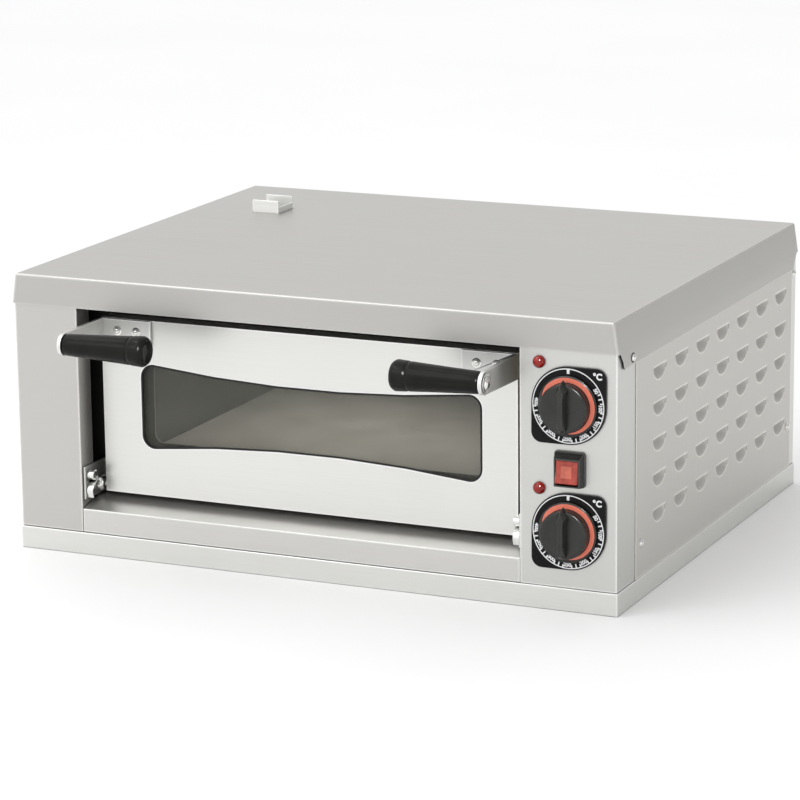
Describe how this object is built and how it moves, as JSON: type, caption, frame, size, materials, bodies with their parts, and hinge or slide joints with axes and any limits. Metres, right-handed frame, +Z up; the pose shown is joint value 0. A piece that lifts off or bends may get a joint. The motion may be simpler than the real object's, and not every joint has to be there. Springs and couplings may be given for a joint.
{
  "type": "countertop pizza oven",
  "caption": "Electric countertop pizza oven: stainless case, drop-down glazed door with black grips, knobs, lamps and switch on the right.",
  "frame": {"origin": "centre of the base tray's underside, on the surface that the oven stands on", "axes": "+X to the right seen from the front, -Y out of the front with the door and controls, +Z up"},
  "size_m": [0.5724, 0.5385, 0.262],
  "materials": {
    "case_steel": "fine horizontal brushed grain, satin",
    "hardware_steel": "bright, lightly polished",
    "aluminised_steel": "dull grey, heat-tinted",
    "baking_stone": "matt fireclay with darker bake marks",
    "element_sheath": "matt oxidised sheath",
    "mineral_wool": "fibrous slab",
    "black_plastic": "moulded phenolic, satin",
    "dial_plate": "black with white scale and red heat arc",
    "gasket_rubber": "matt silicone",
    "window_glass": "clear toughened glass",
    "red_lens": "translucent red moulding",
    "pale_plastic": "ceramic-filled plastic"
  },
  "bodies": {
    "root": {"base_tray": "case_steel", "top_cover": "case_steel", "left_side_panel": "case_steel", "right_side_panel": "case_steel", "back_panel": "case_steel", "left_front_panel": "case_steel", "control_panel": "case_steel", "door_sill": "case_steel", "cover_screw": "hardware_steel", "vent_duct": "hardware_steel", "hinge_pin_left": "hardware_steel", "hinge_pin_right": "hardware_steel", "catch_spring_left": "hardware_steel", "catch_spring_right": "hardware_steel", "hinge_bracket_left": "hardware_steel", "hinge_bracket_right": "hardware_steel", "chamber_liner": "aluminised_steel", "chamber_front_frame": "aluminised_steel", "stone_rail_left": "aluminised_steel", "stone_rail_right": "aluminised_steel", "upper_element_rack": "aluminised_steel", "lower_element_rack": "aluminised_steel", "control_heat_shield": "aluminised_steel", "baking_stone": "baking_stone", "upper_element": "element_sheath", "lower_element": "element_sheath", "insulation_top": "mineral_wool", "insulation_bottom": "mineral_wool", "insulation_left": "mineral_wool", "insulation_right": "mineral_wool", "insulation_back": "mineral_wool", "switch_housing": "black_plastic", "cable_gland": "black_plastic", "upper_dial_plate": "dial_plate", "lower_dial_plate": "dial_plate", "upper_lamp_lens": "red_lens", "lower_lamp_lens": "red_lens", "upper_lamp_body": "pale_plastic", "lower_lamp_body": "pale_plastic", "upper_thermostat_body": "pale_plastic", "lower_thermostat_body": "pale_plastic"},
    "door": {"door_outer_skin": "case_steel", "door_inner_skin": "aluminised_steel", "window_gasket": "gasket_rubber", "window_outer_glass": "window_glass", "window_spacer": "aluminised_steel", "window_inner_glass": "window_glass", "hinge_block_left": "aluminised_steel", "hinge_block_right": "aluminised_steel", "handle_bracket_left": "hardware_steel", "handle_bracket_right": "hardware_steel", "handle_grip_left": "black_plastic", "handle_grip_right": "black_plastic", "grip_screw_left": "hardware_steel", "grip_screw_right": "hardware_steel"},
    "upper_knob": {"upper_knob": "black_plastic", "upper_spindle": "hardware_steel"},
    "lower_knob": {"lower_knob": "black_plastic", "lower_spindle": "hardware_steel"},
    "rocker": {"switch_rocker": "red_lens"}
  },
  "joints": [
    {"name": "door_hinge", "type": "hinge", "parent": "root", "child": "door", "pos_m": [0, -0.204, 0.0585], "axis": [1, 0, 0], "range_deg": [0, 75]},
    {"name": "upper_knob_turn", "type": "hinge", "parent": "root", "child": "upper_knob", "pos_m": [0.241, -0.24, 0.177], "axis": [0, 1, 0], "range_deg": [0, 270]},
    {"name": "lower_knob_turn", "type": "hinge", "parent": "root", "child": "lower_knob", "pos_m": [0.241, -0.24, 0.0695], "axis": [0, 1, 0], "range_deg": [0, 270]},
    {"name": "switch_rock", "type": "hinge", "parent": "root", "child": "rocker", "pos_m": [0.242, -0.2372, 0.1211], "axis": [1, 0, 0], "range_deg": [0, 22]}
  ]
}
